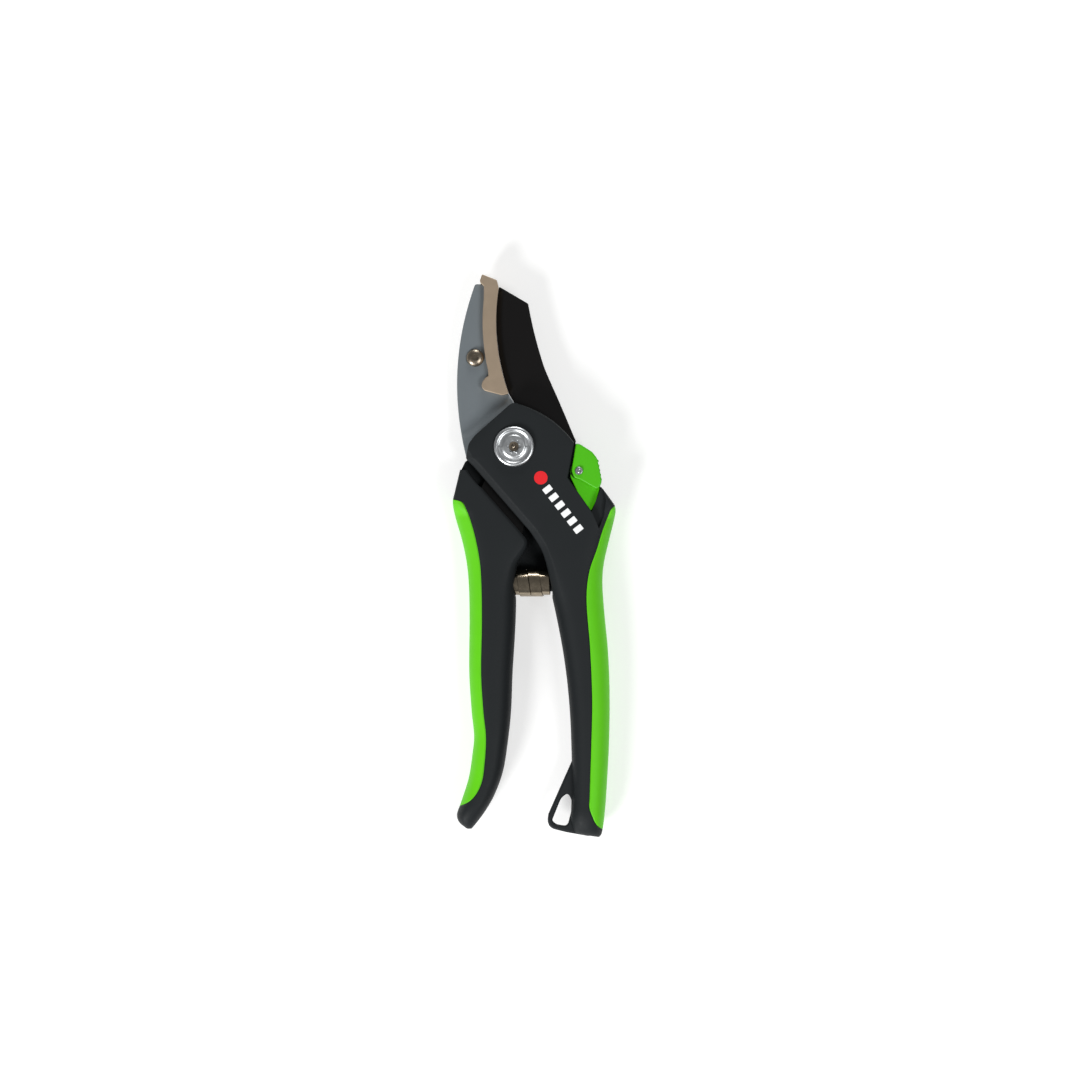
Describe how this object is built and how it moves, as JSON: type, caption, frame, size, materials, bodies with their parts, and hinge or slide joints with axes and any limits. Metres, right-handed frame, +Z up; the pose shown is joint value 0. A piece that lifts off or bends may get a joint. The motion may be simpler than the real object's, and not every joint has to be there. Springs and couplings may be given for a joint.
{
  "type": "pruning shears",
  "caption": "Anvil pruning shears with a curved dark blade, bronze anvil on a steel jaw, two-tone moulded handles, volute return spring and thumb lock.",
  "frame": {"origin": "the pivot axis where it meets the plane that the shears rest on", "axes": "+Z up out of the resting plane along the pivot, +Y towards the tips of the jaws, +X across the handles towards the lock"},
  "size_m": [0.0607, 0.2099, 0.0191],
  "materials": {
    "black_nylon": "glass-filled nylon, fine moulded texture",
    "green_grip": "soft overmoulded elastomer, satin",
    "lock_green": "moulded acetal, satin",
    "jaw_steel": "grey coated pressed steel, satin",
    "anvil_bronze": "soft cast bronze, satin",
    "coated_blade": "black low-friction coating on steel",
    "bright_bolt": "bright plated steel",
    "plated_screw": "zinc plated steel",
    "spring_steel": "oiled spring strip",
    "bush_bronze": "sintered bronze"
  },
  "bodies": {
    "anvil_side": {"anvil_handle": "black_nylon", "anvil_handle_grip": "green_grip", "jaw_plate": "jaw_steel", "anvil_strip": "anvil_bronze", "anvil_screw": "plated_screw", "anvil_nut": "plated_screw", "jaw_screws": "plated_screw", "pivot_bolt": "bright_bolt", "pivot_nut": "plated_screw", "disc_spring": "spring_steel", "pivot_bush": "bush_bronze", "front_washer": "spring_steel", "back_washer": "spring_steel", "volute_spring": "spring_steel", "lock_pin": "plated_screw", "lock_washer": "spring_steel"},
    "blade_side": {"blade_handle": "black_nylon", "blade_handle_grip": "green_grip", "blade": "coated_blade", "blade_screws": "plated_screw"},
    "lock": {"lock_lever": "lock_green"}
  },
  "joints": [
    {"name": "blade_pivot", "type": "hinge", "parent": "anvil_side", "child": "blade_side", "pos_m": [0, 0, 0.0088], "axis": [0, 0, -1], "range_deg": [0, 28], "stiffness_Nm_per_rad": 0.8, "springref_deg": 51.57, "deforming": ["volute_spring"]},
    {"name": "lock_turn", "type": "hinge", "parent": "anvil_side", "child": "lock", "pos_m": [0.0241, -0.009, 0.0125], "axis": [0, 0, -1], "range_deg": [0, 18]}
  ]
}
